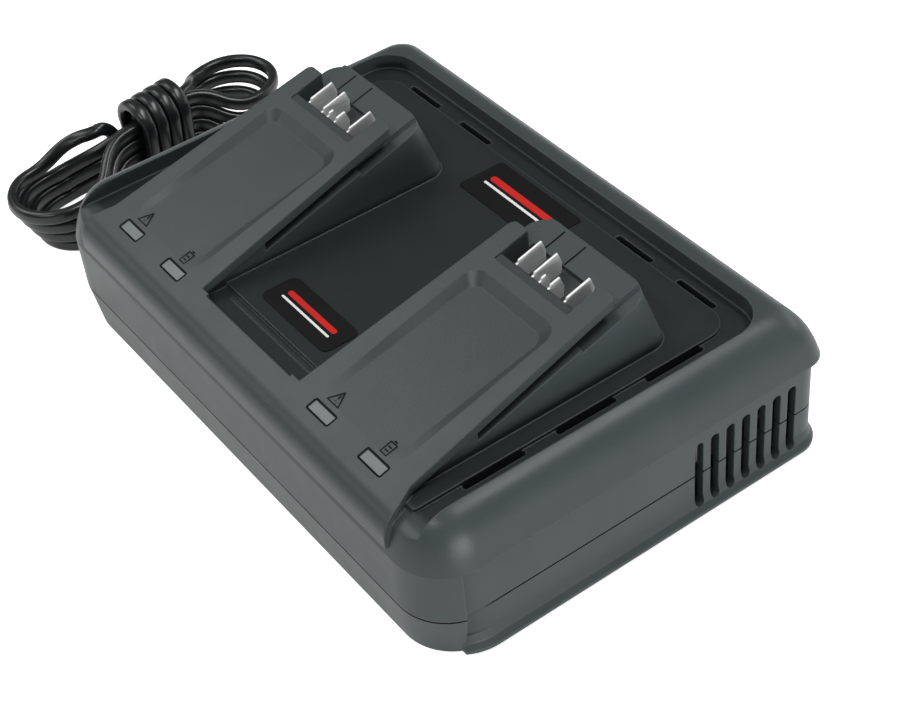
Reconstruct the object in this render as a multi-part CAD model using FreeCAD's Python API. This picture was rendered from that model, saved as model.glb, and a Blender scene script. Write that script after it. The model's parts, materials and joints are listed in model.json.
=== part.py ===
import FreeCAD, Part
import math
import os
from FreeCAD import Vector

# Two-bay battery charger, millimetres. X runs along the long front edge, Y to the back, Z up.
# The origin is on the floor under the middle of the housing.

# Housing
BODY_WIDTH = 233.0
BODY_DEPTH = 159.0
FOOT_HEIGHT = 1.5
PARTING_Z = 17.8
LEDGE_Z = 38.0
BEZEL_TOP = 55.5
PANEL_Z = 50.8
GUTTER_Z = 49.6
WALL = 2.5
FRONT_CORNER = 19.0
BACK_CORNER = 9.0
BACK_CORNER_FADE = 0.2
PANEL_RECESS = 2.1
PANEL_CORNER = 8.0
CAVITY_CORNER = 7.0
CAVITY_FRONT = 2.2
PILLAR_DEPTH = 12.5
DRAFT = 2.0
SEAM = 0.5
SEAM_DEPTH = 0.7
WELL_HALF = 104.0
WELL_BACK_GAP = 15.8
WELL_CORNER = 13.0
PLATE_HALF = 95.3
PLATE_CORNER = 9.0
FRONT_ROLL = 8.5
CAVITY_TOP = GUTTER_Z - WALL

# Shoulder of the bezel, from the ledge to the top: how far in and how high its control points are
SHOULDER_IN = (0.0, 2.3, 6.0, 14.5)
SHOULDER_UP = (LEDGE_Z, 47.5, BEZEL_TOP, BEZEL_TOP)
SHOULDER_STEPS = 8

# Flare of the side and rear panels down to the bottom edge: height over the bottom, and reach
FLARE = ((0.0, 2.7), (1.2, 2.7), (3.0, 1.0), (6.0, 0.0))
REAR_FLARE = 0.55

# Labels: left, right, front and back edge, and corner radius
LABEL_FRONT = (-18.5, 20.5, 28.2, 42.8, 3.0)
LABEL_REAR = (-22.6, 22.6, 113.6, 133.0, 1.5)
LABEL_THICK = 0.3

# Screws, feet and the circuit board
SCREW_PLACES = [(-98, -62), (98, -62), (-98, 60), (84, 62)]
SCREW_R = 1.3
FOOT_PLACES = [(-88, -63), (88, -63), (-86, 62), (70, 64)]
FOOT_R = 6.5
FOOT_SUNK = 0.8
BOARD_POSTS = [(-85, -50), (70, -50), (-85, 45), (60, 45)]
BOARD_Z = 12.0
BOARD_TOP = BOARD_Z + 1.6

# Battery bays
BAY_X = 60.0
BAY_SLOPE = 0.27785
BAY_FRONT_Z = 51.16
HEAD_HALF_FRONT = 30.1
HEAD_HALF_BACK = 25.5
HEAD_BACK = 96.4
LIP = 3.5
GROOVE = 3.5
NECK_HALF = 22.0
GROOVE_FRONT = 40.0
LEAD_IN = 81.0
LEAD_IN_DROP = 1.3
CHEEK_HALF = 28.9
CHEEK_DRAFT = 2.2
CHEEK_BACK = 118.0
CHEEK_LEAN = 10.0
BAND_DEPTH = 12.5
RECESS_FRONT = 15.0
RECESS_BACK = 77.5
RECESS_HALF = 21.2
RECESS_DEPTH = 3.0
RECESS_SOFT = 3.4
RECESS_CORNER = 6.0

# Contacts, measured across the bay from its centre line and back from the front face
HOLDER_FRONT = 82.6
HOLDER_BACK = 85.3
HOLDER_HALF = 18.0
BLADE_THICK = 0.8
LONG_BLADES = (-10.8, -2.7, 13.4)
MID_BLADE = 5.3
SHORT_BLADE = 0.9
LONG_REACH = 12.2
MID_REACH = 6.6
SHORT_REACH = 4.6

# Signal lights of a bay
LIGHT_OFFSETS = (-14.1, 14.3)
LIGHT_BACK = 11.2
LIGHT_HALF = 5.5
LIGHT_DEPTH = 1.8

# Air slots
SIDE_SLOTS = 7
SIDE_SLOT_FIRST = 104.5
SIDE_SLOT_PITCH = 6.57
SIDE_SLOT_WIDTH = 3.6
SIDE_SLOT_LOW = 4.2
SIDE_SLOT_HIGH = 31.5
TOP_SLOT = 23.2
TOP_SLOT_PITCH = 35.4
TOP_SLOT_WIDTH = 2.3
TOP_SLOT_SIDE = 96.4
TOP_SLOT_BACK = 137.4

# Fan
FAN_SIZE = 40.0
FAN_DEPTH = 10.0
FAN_BORE = 19.2
ROTOR_R = 18.4
HUB_R = 8.0
FAN_BLADES = 7
SHAFT_R = 1.25
SHAFT_GAP = 0.05

# Mains lead
CORD = 5.4
LAYER = 6.1
LOOPS = 4
WRAPS = 4
HANK_CENTRE = Vector(-166, -14, 0)
HANK_LEAN = math.radians(10)
FLOOR_Z = 2.8
LOBE_R = 16.5
LOBE_AT = 41.0
LOBE_STEP = 3.0
LOBE_BACK = 8.0
WAIST = 13.0
WAIST_GAP = 3.05
WAIST_LIFT = 8.0
WRAP_R = 9.3
WRAP_TOP = 36.9
WRAP_PITCH = 5.9
TAIL_LEAN = 0.3
TAIL_SHIFT = 1.4
TAIL_STUB = 2.0

# Strain relief and plug
RELIEF_Y = 54.0
RELIEF_Z = 9.4
RELIEF_R = 4.0
RELIEF_ROOT = 5.0
RELIEF_LENGTH = 20.0
RELIEF_TIP = 3.6
RELIEF_CORE = 3.2
RELIEF_COLLAR = 2.5
RELIEF_GROOVES = 4
RELIEF_GROOVE = 1.3
RELIEF_PITCH = 3.6
RELIEF_FIRST_GROOVE = 4.0
LEAD_BENDS = ((-144.7, 54.0, 8.4), (-154.0, 48.0, 6.0), (-158.3, 37.7, 3.6))
TAIL_BENDS = ((-156.2, 4.9, 4.8), (-145.8, 3.4, 10.2), (-138.0, -3.6, 15.8))
PLUG_X = -135.1
PLUG_Y = -13.7
PLUG_Z = 17.8
PLUG_TURN = 16.0
PLUG_BODY = 36.0
PIN_R = 2.0
PIN_LENGTH = 19.0
PIN_SPREAD = 9.3

FRONT_Y = -BODY_DEPTH / 2
HALF = BODY_WIDTH / 2
BOTTOM_Z = FOOT_HEIGHT
WALL_X = -HALF + PANEL_RECESS
TALL = 100.0
FAN_X = 97.0
FAN_Y = FRONT_Y + SIDE_SLOT_FIRST + 3 * SIDE_SLOT_PITCH - 1.5
FAN_Z = 25.5
ALONG = Vector(-math.sin(HANK_LEAN), math.cos(HANK_LEAN), 0)
ACROSS = Vector(-math.cos(HANK_LEAN), -math.sin(HANK_LEAN), 0)


def back(distance):
    """Y of a place that lies this far behind the front face."""
    return FRONT_Y + distance


def box(x0, x1, y0, y1, z0, z1):
    return Part.makeBox(x1 - x0, y1 - y0, z1 - z0, Vector(x0, y0, z0))


def prism(wire, height):
    return Part.Face(wire).extrude(Vector(0, 0, height))


def corner_wire(corners, z):
    """Closed outline through (x, y, radius) corners, each rounded by its own radius."""
    count = len(corners)
    starts = []
    ends = []
    arcs = []
    for index, (x, y, radius) in enumerate(corners):
        here = Vector(x, y, z)
        before = Vector(corners[index - 1][0], corners[index - 1][1], z) - here
        after = Vector(corners[(index + 1) % count][0], corners[(index + 1) % count][1], z) - here
        before.normalize()
        after.normalize()
        half = before.getAngle(after) / 2
        if radius == 0:
            starts.append(here)
            ends.append(here)
            arcs.append(None)
            continue
        reach = radius / math.tan(half)
        middle = (before + after).normalize()
        top = here + middle * (radius / math.sin(half) - radius)
        starts.append(here + before * reach)
        ends.append(here + after * reach)
        arcs.append(Part.Arc(starts[-1], top, ends[-1]).toShape())
    edges = []
    for index in range(count):
        if arcs[index]:
            edges.append(arcs[index])
        edges.append(Part.LineSegment(ends[index], starts[(index + 1) % count]).toShape())
    return Part.Wire(edges)


def rectangle(x0, x1, y0, y1, front_radius, back_radius, z):
    return corner_wire([(x0, y0, front_radius), (x1, y0, front_radius),
                        (x1, y1, back_radius), (x0, y1, back_radius)], z)


def side_profile(points, x0, x1):
    """Solid of a (y, z) polygon carried along X."""
    corners = [Vector(x0, y, z) for y, z in points]
    face = Part.Face(Part.makePolygon(corners + corners[:1]))
    return face.extrude(Vector(x1 - x0, 0, 0))


def slot_cutter(centre, along, width, depth):
    """Round-ended slot cutter that runs along Y at its centre and goes down by depth."""
    x, y, z = centre
    wire = rectangle(x - width / 2, x + width / 2, y - along / 2, y + along / 2,
                     width * 0.45, width * 0.45, z - depth)
    return prism(wire, 2 * depth)


def fuse(shapes):
    return shapes[0].multiFuse(shapes[1:]).removeSplitter()


def bay_z(y, drop=0.0):
    """Height of the sloped bay plane at this Y, less a drop."""
    return BAY_FRONT_Z + BAY_SLOPE * (y - FRONT_Y) - drop


def bay_slab(x0, x1, y0, y1, top_drop, low_drop):
    """Slab between two planes that run parallel to the bay plane."""
    return side_profile([(y0, bay_z(y0, low_drop)), (y1, bay_z(y1, low_drop)),
                         (y1, bay_z(y1, top_drop)), (y0, bay_z(y0, top_drop))], x0, x1)


def below_bay(x0, x1, y0, y1, drop, z0):
    """Solid under the bay plane, from z0 up."""
    return side_profile([(y0, z0), (y1, z0), (y1, bay_z(y1, drop)), (y0, bay_z(y0, drop))], x0, x1)


def head_half(y):
    """Half width of the guide head, which narrows towards the back."""
    run = (y - back(13)) / (HEAD_BACK - 13)
    return HEAD_HALF_FRONT + (HEAD_HALF_BACK - HEAD_HALF_FRONT) * run


# Housing outlines

def wall_block(z, height, inset=0.0):
    """Walls below the ledge: flush corner pillars in front, recessed panels behind them."""
    side = HALF - PANEL_RECESS - inset
    rear = -FRONT_Y - PANEL_RECESS - inset
    panels = prism(rectangle(-side, side, FRONT_Y + inset, rear, FRONT_CORNER - inset,
                             PANEL_CORNER - inset, z), height)
    pillars = prism(rectangle(-HALF + inset, HALF - inset, FRONT_Y + inset, back(3 * PILLAR_DEPTH),
                              FRONT_CORNER - inset, 1, z), height)
    front = box(-HALF, HALF, FRONT_Y, back(PILLAR_DEPTH) - inset, z, z + height)
    return panels.fuse(pillars.common(front)).removeSplitter()


def cavity_wire(z, inset, front=0.0):
    side = HALF - PANEL_RECESS - inset
    return rectangle(-side, side, FRONT_Y + inset + front, -FRONT_Y - PANEL_RECESS - inset,
                     FRONT_CORNER - inset, CAVITY_CORNER, z)


def shoulder_section(share):
    """Outline of the bezel at one height of its shoulder: share 0 is the ledge and 1 the top."""
    rest = 1 - share
    weights = (rest ** 3, 3 * rest ** 2 * share, 3 * rest * share ** 2, share ** 3)
    inset = sum(weight * place for weight, place in zip(weights, SHOULDER_IN))
    z = sum(weight * place for weight, place in zip(weights, SHOULDER_UP))
    return rectangle(-HALF + inset, HALF - inset, FRONT_Y + inset, -FRONT_Y - inset,
                     FRONT_CORNER - inset, BACK_CORNER - BACK_CORNER_FADE * inset, z)


def shoulder_block():
    """Everything above the parting line before the well is sunk: walls, ledge and one large soft shoulder."""
    sections = [shoulder_section(step / SHOULDER_STEPS) for step in range(SHOULDER_STEPS + 1)]
    block = Part.makeLoft(sections, True, False).fuse(wall_block(PARTING_Z, LEDGE_Z - PARTING_Z))
    seam = box(-HALF - 5, HALF + 5, FRONT_Y - 5, -FRONT_Y + 5, PARTING_Z, PARTING_Z + SEAM)
    return block.cut(seam.cut(wall_block(PARTING_Z - 1, SEAM + 2, SEAM_DEPTH)))


def well_cutter():
    """The sunk top: open at the front, where its floor rolls over the front edge."""
    rear = -FRONT_Y - WELL_BACK_GAP
    plan = prism(rectangle(-WELL_HALF, WELL_HALF, FRONT_Y - 20, rear, 0.5, WELL_CORNER, 0), TALL)
    roll_y = FRONT_Y + FRONT_ROLL
    roll_z = GUTTER_Z - FRONT_ROLL
    turn = FRONT_ROLL * math.sqrt(0.5)
    arc = Part.Arc(Vector(-HALF, FRONT_Y, roll_z), Vector(-HALF, roll_y - turn, roll_z + turn),
                   Vector(-HALF, roll_y, GUTTER_Z)).toShape()
    ring = [Vector(-HALF, roll_y, GUTTER_Z), Vector(-HALF, rear + 5, GUTTER_Z), Vector(-HALF, rear + 5, TALL),
            Vector(-HALF, FRONT_Y - 15, TALL), Vector(-HALF, FRONT_Y - 15, roll_z), Vector(-HALF, FRONT_Y, roll_z)]
    wire = Part.Wire([arc, Part.makePolygon(ring)])
    return Part.Face(wire).extrude(Vector(BODY_WIDTH, 0, 0)).common(plan)


def top_plate():
    """Raised plate between the bays and behind them, with its low step behind the front band."""
    plate = prism(rectangle(-PLATE_HALF, PLATE_HALF, back(BAND_DEPTH - 2), back(TOP_SLOT_BACK - 2.2),
                            1, PLATE_CORNER, GUTTER_Z - 1), PANEL_Z - GUTTER_Z + 1)
    step = box(-35, 35, back(0), back(23), GUTTER_Z - 0.2, TALL)
    ridge = box(-25, 25, back(20.4), back(21.4), GUTTER_Z - 0.6, GUTTER_Z + 0.2)
    return plate.cut(step).fuse(ridge)


# Battery bays

def cheek(x, inset=0.0, drop=None, base=None):
    """Drafted block under the guide head, with leaning rounded back corners."""
    half = CHEEK_HALF - inset
    low = GUTTER_Z - 3 if base is None else base
    rise = 30.0
    front = back(6) + inset
    foot = rectangle(x - half, x + half, front, back(CHEEK_BACK) - inset, 2, 8 - inset / 2, low)
    upper_half = half - CHEEK_DRAFT
    upper = rectangle(x - upper_half, x + upper_half, front, back(CHEEK_BACK - CHEEK_LEAN) - inset,
                      2, 8 - inset / 2, low + rise)
    body = Part.makeLoft([foot, upper], True, True)
    cap = LIP + GROOVE if drop is None else drop
    return body.common(below_bay(x - half - 5, x + half + 5, back(0), back(CHEEK_BACK + 5), cap, low - 1))


def guide_head(x):
    """Head plate with two lips, on a narrower neck: the battery's rails run in the grooves under the lips."""
    front = back(BAND_DEPTH - 2)
    rear = back(HEAD_BACK)
    wire = corner_wire([(x - head_half(front), front, 0), (x + head_half(front), front, 0),
                        (x + HEAD_HALF_BACK, rear, 2.5), (x - HEAD_HALF_BACK, rear, 2.5)], 0)
    plate = prism(wire, TALL).common(bay_slab(x - 40, x + 40, back(0), back(110), 0, LIP))
    neck_plan = prism(rectangle(x - NECK_HALF, x + NECK_HALF, back(GROOVE_FRONT - 5), rear, 0.5, 1.5, 0), TALL)
    neck = neck_plan.common(bay_slab(x - 40, x + 40, back(0), back(110), LIP - 0.5, LIP + GROOVE + 0.5))
    closed = cheek(x, 0, LIP - 0.2).common(box(x - 40, x + 40, back(0), back(GROOVE_FRONT), 0, TALL))
    return [plate, neck, closed]


def front_band():
    """Continuous strip that joins the two bays along the front edge."""
    reach = BAY_X + HEAD_HALF_FRONT
    wire = corner_wire([(-reach - 4.2, back(-1), 0), (reach + 4.2, back(-1), 0), (reach + 3.2, back(6), 8),
                        (reach, back(BAND_DEPTH + 1), 0), (BAY_X - HEAD_HALF_FRONT - 4, back(BAND_DEPTH + 1), 0),
                        (BAY_X - HEAD_HALF_FRONT - 4, back(BAND_DEPTH), 0),
                        (HEAD_HALF_FRONT + 4 - BAY_X, back(BAND_DEPTH), 0),
                        (HEAD_HALF_FRONT + 4 - BAY_X, back(BAND_DEPTH + 1), 0),
                        (-reach, back(BAND_DEPTH + 1), 0), (-reach - 3.2, back(6), 8)], 0)
    return prism(wire, TALL).common(below_bay(-HALF, HALF, back(-1), back(BAND_DEPTH + 2), 0, GUTTER_Z - 9))


def front_envelope():
    """Space behind the front face and under the bay plane, with the rolled edge between them."""
    slope = math.atan(BAY_SLOPE)
    turn = math.pi / 2 - slope
    reach = FRONT_ROLL * math.tan(turn / 2)
    low = Vector(-HALF, FRONT_Y, bay_z(FRONT_Y) - reach)
    high_y = FRONT_Y + reach * math.cos(slope)
    high = Vector(-HALF, high_y, bay_z(high_y))
    centre = Vector(-HALF, FRONT_Y + FRONT_ROLL, low.z)
    middle = centre + Vector(0, -math.cos(turn / 2), math.sin(turn / 2)) * FRONT_ROLL
    arc = Part.Arc(low, middle, high).toShape()
    rear = back(CHEEK_BACK + 10)
    ring = [high, Vector(-HALF, rear, bay_z(rear)), Vector(-HALF, rear, PARTING_Z),
            Vector(-HALF, FRONT_Y, PARTING_Z), low]
    return Part.Face(Part.Wire([arc, Part.makePolygon(ring)])).extrude(Vector(BODY_WIDTH, 0, 0))


def bay_recess(x):
    """Soft-sided recess in the head, which deepens towards the back."""
    front = back(RECESS_FRONT)
    rear = back(RECESS_BACK)

    def tilted(inset, sink):
        slope = BAY_SLOPE - sink / (rear - front)
        corner = RECESS_CORNER - inset / 2
        wire = rectangle(x - RECESS_HALF + inset, x + RECESS_HALF - inset, front + inset, rear - inset,
                         corner, corner, 0)
        matrix = FreeCAD.Matrix()
        matrix.A32 = slope
        matrix.A34 = bay_z(front) - front * slope
        return wire.transformGeometry(matrix)

    top = tilted(0, 0)
    top.translate(Vector(0, 0, 0.01))
    return Part.makeLoft([tilted(RECESS_SOFT, RECESS_DEPTH), top], True, True)


def contact_pocket(x):
    """Opening for the contact carrier, open to the ramp behind it."""
    pocket = box(x - HOLDER_HALF - 0.3, x + HOLDER_HALF + 0.3, back(HOLDER_FRONT), back(HEAD_BACK + 2), 40, TALL)
    return pocket


def lead_in(x):
    """Wider mouth of each rail groove, near the back."""
    return [bay_slab(x + side * 27 - 5, x + side * 27 + 5, back(LEAD_IN), back(CHEEK_BACK),
                     LIP, LIP + GROOVE + LEAD_IN_DROP) for side in (-1, 1)]


def light_windows(x):
    """Two rectangular windows in the sloped front of a bay."""
    return [box(x + offset - LIGHT_HALF, x + offset + LIGHT_HALF, back(LIGHT_BACK - LIGHT_DEPTH),
                back(LIGHT_BACK + LIGHT_DEPTH), CAVITY_TOP - 5, TALL) for offset in LIGHT_OFFSETS]


# Air slots

def side_slots():
    """Seven upright slots through the right wall, across the parting line."""
    tools = []
    low = SIDE_SLOT_LOW
    for index in range(SIDE_SLOTS):
        y = back(SIDE_SLOT_FIRST + index * SIDE_SLOT_PITCH)
        wire = rectangle(-SIDE_SLOT_HIGH, -low, y - SIDE_SLOT_WIDTH / 2, y + SIDE_SLOT_WIDTH / 2,
                         SIDE_SLOT_WIDTH * 0.45, SIDE_SLOT_WIDTH * 0.45, 0)
        tool = prism(wire, 20)
        tool.rotate(Vector(0, 0, 0), Vector(0, 1, 0), 90)
        tool.translate(Vector(HALF - 12, 0, 0))
        tools.append(tool)
    return tools


def top_slots():
    """Air inlets in the gutter round the top plate."""
    tools = []
    for side in (-1, 1):
        for index in range(3):
            y = back(39.2 + index * TOP_SLOT_PITCH)
            tools.append(slot_cutter((side * TOP_SLOT_SIDE, y, GUTTER_Z), TOP_SLOT, TOP_SLOT_WIDTH, 6))
        for x in (44.7, 75.7):
            tool = slot_cutter((0, 0, GUTTER_Z), 18, TOP_SLOT_WIDTH, 6)
            tool.rotate(Vector(0, 0, 0), Vector(0, 0, 1), 90)
            tool.translate(Vector(side * x, back(TOP_SLOT_BACK), 0))
            tools.append(tool)
    return tools


# Housings

def upper_housing():
    body = shoulder_block().cut(well_cutter())
    raised = [front_band(), top_plate()]
    for x in (-BAY_X, BAY_X):
        raised.append(cheek(x))
        raised.extend(guide_head(x))
    band = fuse([raised[0]] + raised[2:]).common(front_envelope())
    body = fuse([body, band, raised[1]])
    hollow = prism(cavity_wire(PARTING_Z - 1, WALL + 0.4, CAVITY_FRONT), CAVITY_TOP - PARTING_Z + 1)
    cuts = []
    for x in (-BAY_X, BAY_X):
        hollow = hollow.fuse(cheek(x, WALL, LIP + GROOVE + WALL, CAVITY_TOP - 1))
        cuts.append(bay_recess(x))
        cuts.append(contact_pocket(x))
        cuts.extend(lead_in(x))
        cuts.extend(light_windows(x))
    posts = []
    for x, y in SCREW_PLACES:
        post = Part.makeCylinder(3.6, CAVITY_TOP - PARTING_Z - 0.2, Vector(x, y, PARTING_Z + 0.2))
        posts.append(post.cut(Part.makeCylinder(SCREW_R, 14, Vector(x, y, PARTING_Z))))
    body = body.cut(hollow)
    body = body.multiFuse(posts)
    return body.cut(Part.makeCompound(cuts + side_slots() + top_slots()))


def tray():
    """Block under the parting line: drafted front pillars, and recessed panels that flare out at the bottom."""
    side = HALF - PANEL_RECESS
    rear = -FRONT_Y - PANEL_RECESS
    panels = prism(rectangle(-side, side, FRONT_Y + 2 * DRAFT, rear, FRONT_CORNER, PANEL_CORNER, BOTTOM_Z),
                   PARTING_Z - BOTTOM_Z)
    pillars = Part.makeLoft([rectangle(-HALF + DRAFT, HALF - DRAFT, FRONT_Y + DRAFT, back(3 * PILLAR_DEPTH),
                                       FRONT_CORNER, 1, BOTTOM_Z),
                             rectangle(-HALF, HALF, FRONT_Y, back(3 * PILLAR_DEPTH), FRONT_CORNER, 1, PARTING_Z)],
                            True, True)
    pillars = pillars.common(box(-HALF, HALF, FRONT_Y, back(PILLAR_DEPTH), BOTTOM_Z, PARTING_Z))
    wires = [rectangle(-side - reach, side + reach, back(3), rear + reach * REAR_FLARE,
                       FRONT_CORNER, PANEL_CORNER + reach, BOTTOM_Z + up) for up, reach in FLARE]
    flare = Part.makeLoft(wires, True, True)
    flare = flare.common(box(-HALF - 5, HALF + 5, back(PILLAR_DEPTH - 1), -FRONT_Y + 5, BOTTOM_Z, PARTING_Z))
    return fuse([panels, pillars, flare])


def lower_housing():
    hollow = prism(cavity_wire(BOTTOM_Z + WALL, WALL + 0.4, CAVITY_FRONT), TALL)
    body = tray().cut(hollow)
    posts = []
    for x, y in SCREW_PLACES:
        post = Part.makeCylinder(4.6, PARTING_Z - BOTTOM_Z, Vector(x, y, BOTTOM_Z))
        posts.append(post)
    for x, y in BOARD_POSTS:
        posts.append(Part.makeCylinder(3.5, BOARD_Z - BOTTOM_Z, Vector(x, y, BOTTOM_Z)))
    body = body.multiFuse(posts)
    cuts = side_slots()
    for x, y in SCREW_PLACES:
        cuts.append(Part.makeCylinder(1.8, TALL, Vector(x, y, 0)))
        cuts.append(Part.makeCylinder(3.2, 9, Vector(x, y, 0)))
    cuts.append(Part.makeCylinder(RELIEF_R, 12, Vector(-HALF - 2, RELIEF_Y, RELIEF_Z), Vector(1, 0, 0)))
    cuts.append(Part.makeCylinder(RELIEF_ROOT, 8, Vector(WALL_X, RELIEF_Y, RELIEF_Z), Vector(-1, 0, 0)))
    for x, y in FOOT_PLACES:
        cuts.append(Part.makeCylinder(FOOT_R, 1.0, Vector(x, y, BOTTOM_Z + FOOT_SUNK - 1)))
    return body.cut(Part.makeCompound(cuts))


# Small parts of the outside

def rubber_feet():
    feet = []
    for x, y in FOOT_PLACES:
        foot = Part.makeCylinder(FOOT_R, BOTTOM_Z + FOOT_SUNK, Vector(x, y, 0))
        edge = [e for e in foot.Edges if all(v.Z < 0.01 for v in e.Vertexes) and e.Closed]
        feet.append(foot.makeChamfer(0.5, edge))
    return Part.makeCompound(feet)


def case_screws():
    screws = []
    for x, y in SCREW_PLACES:
        shank = Part.makeCylinder(SCREW_R, 18, Vector(x, y, 9))
        head = Part.makeCylinder(2.8, 2.2, Vector(x, y, 6.8))
        screws.append(shank.fuse(head))
    return Part.makeCompound(screws)


def contact_carrier(x):
    """Strip and floor that hold the blades of one bay; it fills the opening in the head."""
    half = HOLDER_HALF
    strip = bay_slab(x - half, x + half, back(HOLDER_FRONT), back(HOLDER_BACK), 0.3, 11)
    floor = bay_slab(x - half - 0.3, x + half + 0.3, back(HOLDER_FRONT), back(HEAD_BACK + 2), LIP + GROOVE + 1.2, 11)
    comb = [bay_slab(x + centre - 1.6, x + centre + 1.6, back(HOLDER_BACK - 0.5), back(HOLDER_BACK + 1.6), 5, 9)
            for centre in LONG_BLADES + (MID_BLADE, SHORT_BLADE)]
    return fuse([strip, floor] + comb)


def blade(x, reach):
    """Upright plate with a chamfered nose and a step at its root; its tail goes down to the board."""
    root = back(HOLDER_BACK)
    nose = root + reach
    points = [(root, bay_z(root, 13)), (nose - 1, bay_z(nose - 1, 13)), (nose - 0.2, bay_z(nose, 4.2)),
              (nose - 1.6, bay_z(nose - 1.6, -0.2)), (root + 1.4, bay_z(root + 1.4, -0.2)),
              (root + 1.0, bay_z(root + 1.0, 0.7)), (root, bay_z(root, 0.7))]
    return side_profile(points, x - BLADE_THICK / 2, x + BLADE_THICK / 2)


def contact_blades(x):
    blades = [blade(x + offset, LONG_REACH) for offset in LONG_BLADES]
    blades.append(blade(x + MID_BLADE, MID_REACH))
    blades.append(blade(x + SHORT_BLADE, SHORT_REACH))
    return blades


def light_pipes(x):
    """Two clear light pipes: each fills its window and widens to a flange behind the wall."""
    pipes = []
    for offset in LIGHT_OFFSETS:
        half = LIGHT_HALF - 0.1
        deep = LIGHT_DEPTH - 0.1
        stem = below_bay(x + offset - half, x + offset + half, back(LIGHT_BACK - deep), back(LIGHT_BACK + deep),
                         0.25, CAVITY_TOP - 2)
        flange = box(x + offset - 7, x + offset + 7, back(7.4), back(15), CAVITY_TOP - 2, CAVITY_TOP)
        pipes.append(stem.fuse(flange))
    return Part.makeCompound(pipes)


def led_board(x):
    board = box(x - 24, x + 24, back(6.5), back(18), CAVITY_TOP - 4.8, CAVITY_TOP - 3.4)
    lamps = [box(x + offset - 2, x + offset + 2, back(LIGHT_BACK - 1.5), back(LIGHT_BACK + 1.5),
                 CAVITY_TOP - 3.4, CAVITY_TOP - 2) for offset in LIGHT_OFFSETS]
    return fuse([board] + lamps)


def label(edges):
    left, right, front, rear, radius = edges
    return prism(rectangle(left, right, back(front), back(rear), radius, radius, PANEL_Z), LABEL_THICK)


# Inside parts

def circuit_board():
    return prism(rectangle(-93, 88, -60, 56, 3, 3, BOARD_Z), BOARD_TOP - BOARD_Z)


def transformer():
    core = fuse([box(-58, -20, -34, -26, BOARD_TOP, BOARD_TOP + 28), box(-58, -20, -6, 2, BOARD_TOP, BOARD_TOP + 28),
                 box(-58, -50, -34, 2, BOARD_TOP + 6, BOARD_TOP + 28), box(-28, -20, -34, 2, BOARD_TOP + 6,
                                                                           BOARD_TOP + 28)])
    winding = prism(rectangle(-49.7, -28.3, -25.7, -6.3, 6, 6, BOARD_TOP), 26)
    return core, winding


def heat_sink(x, y):
    base = box(x - 22, x + 22, y - 1.5, y + 1.5, BOARD_TOP, BOARD_TOP + 26)
    fins = [box(x - 21 + step * 7, x - 19 + step * 7, y + 1, y + 11, BOARD_TOP, BOARD_TOP + 26) for step in range(7)]
    return fuse([base] + fins)


def bulk_capacitors():
    cans = []
    for y in (-38, -16, 6):
        can = Part.makeCylinder(9, 26, Vector(-78, y, BOARD_TOP))
        top = [e for e in can.Edges if e.Closed and e.Vertexes[0].Z > BOARD_TOP + 20]
        cans.append(can.makeFillet(1.2, top))
    return Part.makeCompound(cans)


def mains_choke():
    ring = Part.makeTorus(9, 4.5, Vector(-76, 36, BOARD_TOP + 13.6), Vector(0, 1, 0))
    base = box(-86, -66, 31, 41, BOARD_TOP, BOARD_TOP + 2)
    return ring.fuse(base)


def fuse_holder():
    clips = [box(-52, -49, 44, 52, BOARD_TOP, BOARD_TOP + 8), box(-30, -27, 44, 52, BOARD_TOP, BOARD_TOP + 8)]
    tube = Part.makeCylinder(2.6, 25, Vector(-52, 48, BOARD_TOP + 5), Vector(1, 0, 0))
    return fuse(clips + [tube])


def mains_terminal():
    block = box(-92, -82, 43, 55, BOARD_TOP, BOARD_TOP + 9)
    return block.cut(Part.makeCompound([Part.makeCylinder(1.8, 7, Vector(-93, y, BOARD_TOP + 4), Vector(1, 0, 0))
                                        for y in (46, 52)]))


# Fan

def fan_frame():
    low = BOTTOM_Z + WALL
    half = FAN_SIZE / 2
    frame = box(FAN_X, FAN_X + FAN_DEPTH, FAN_Y - half, FAN_Y + half, FAN_Z - half, FAN_Z + half)
    frame = frame.cut(Part.makeCylinder(FAN_BORE, FAN_DEPTH, Vector(FAN_X, FAN_Y, FAN_Z), Vector(1, 0, 0)))
    foot = box(FAN_X, FAN_X + FAN_DEPTH, FAN_Y - half, FAN_Y + half, low, FAN_Z - half + 1)
    foot = foot.cut(Part.makeCylinder(FAN_BORE, FAN_DEPTH, Vector(FAN_X, FAN_Y, FAN_Z), Vector(1, 0, 0)))
    hub = Part.makeCylinder(HUB_R, 2.0, Vector(FAN_X, FAN_Y, FAN_Z), Vector(1, 0, 0))
    arms = []
    for index in range(3):
        arm = box(FAN_X, FAN_X + 2, FAN_Y - 1.2, FAN_Y + 1.2, FAN_Z, FAN_Z + FAN_BORE + 0.3)
        arm.rotate(Vector(FAN_X, FAN_Y, FAN_Z), Vector(1, 0, 0), 120 * index)
        arms.append(arm)
    frame = fuse([frame, foot, hub] + arms)
    return frame.cut(Part.makeCylinder(SHAFT_R + SHAFT_GAP, 2.0, Vector(FAN_X, FAN_Y, FAN_Z), Vector(1, 0, 0)))


def fan_blade():
    """One twisted blade between two radial edges."""
    wires = []
    for x, turn in ((FAN_X + 3.2, 0), (FAN_X + FAN_DEPTH - 0.8, 34)):
        corners = [Vector(x, FAN_Y - 0.6, FAN_Z + HUB_R - 1), Vector(x, FAN_Y + 0.6, FAN_Z + HUB_R - 1),
                   Vector(x, FAN_Y + 0.6, FAN_Z + ROTOR_R), Vector(x, FAN_Y - 0.6, FAN_Z + ROTOR_R)]
        wire = Part.makePolygon(corners + corners[:1])
        wire.rotate(Vector(x, FAN_Y, FAN_Z), Vector(1, 0, 0), turn)
        wires.append(wire)
    return Part.makeLoft(wires, True, True)


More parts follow.
